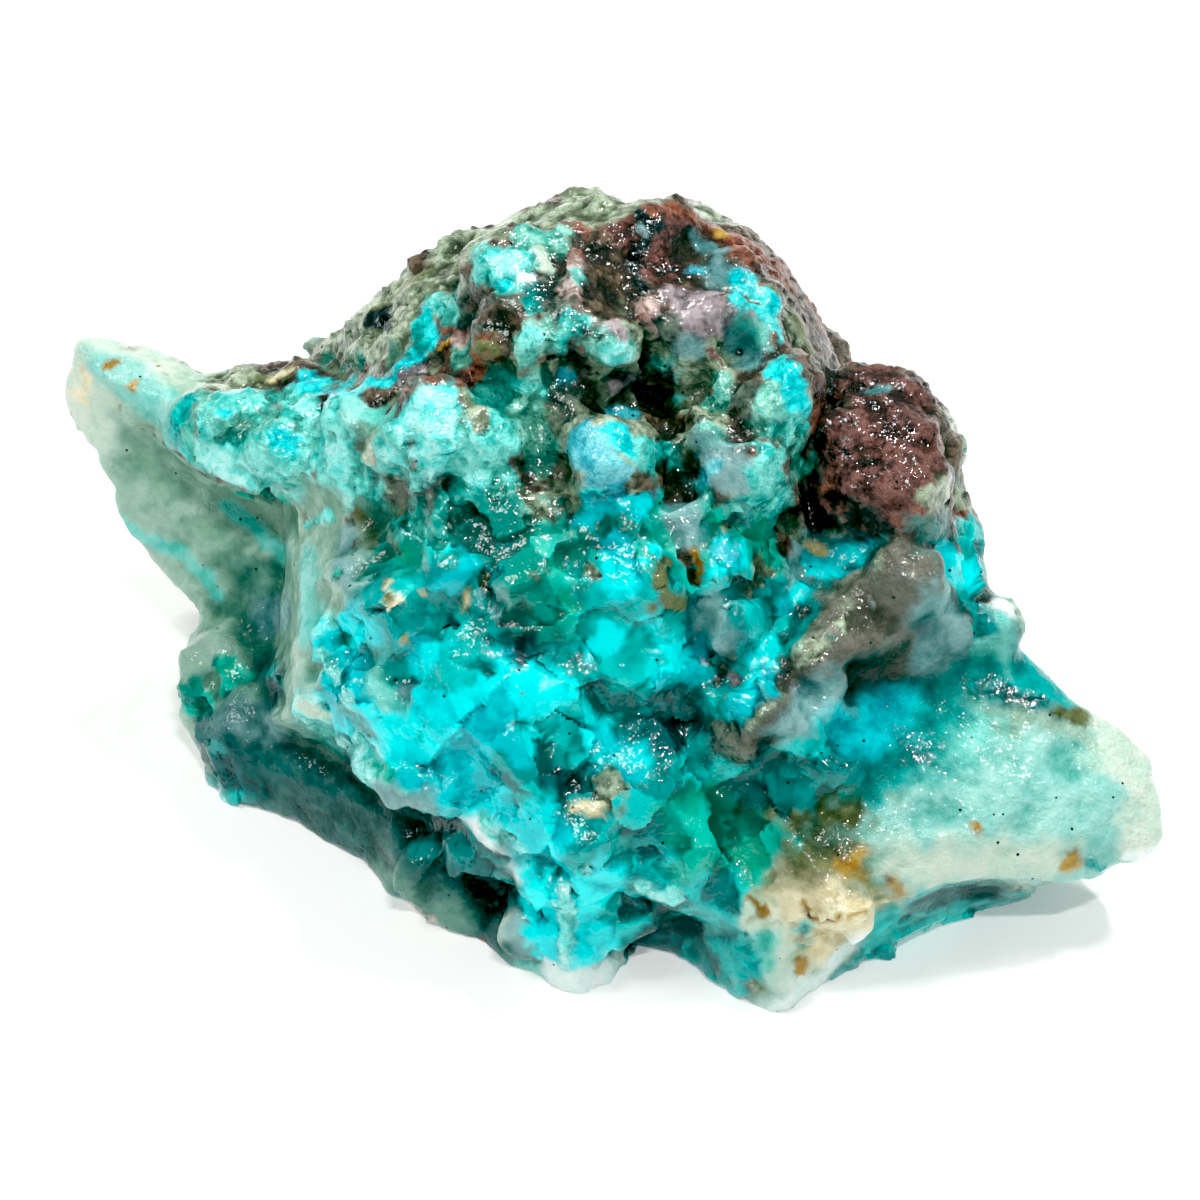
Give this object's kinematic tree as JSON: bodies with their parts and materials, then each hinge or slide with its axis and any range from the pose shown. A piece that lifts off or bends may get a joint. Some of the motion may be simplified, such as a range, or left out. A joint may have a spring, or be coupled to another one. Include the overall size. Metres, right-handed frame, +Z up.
{
  "type": "rough chrysocolla",
  "caption": "Rough chrysocolla stone: blue-green nodular crust over pale silica and brown matrix, with a pointed horn and a broad wing; rests on a flat foot as a display piece.",
  "frame": {"origin": "centre of the stone's box, on the level that its foot rests on", "axes": "+X along the stone's length, from the pointed horn towards the wing; +Z up; -Y towards the side that the picture shows"},
  "size_m": [0.06, 0.048, 0.0301],
  "materials": {
    "stone": "wet broken mineral surface, glossy, blue-green crust with pale silica, brown matrix and ochre stain"
  },
  "bodies": {
    "root": {"chrysocolla_stone": "stone"}
  },
  "joints": []
}
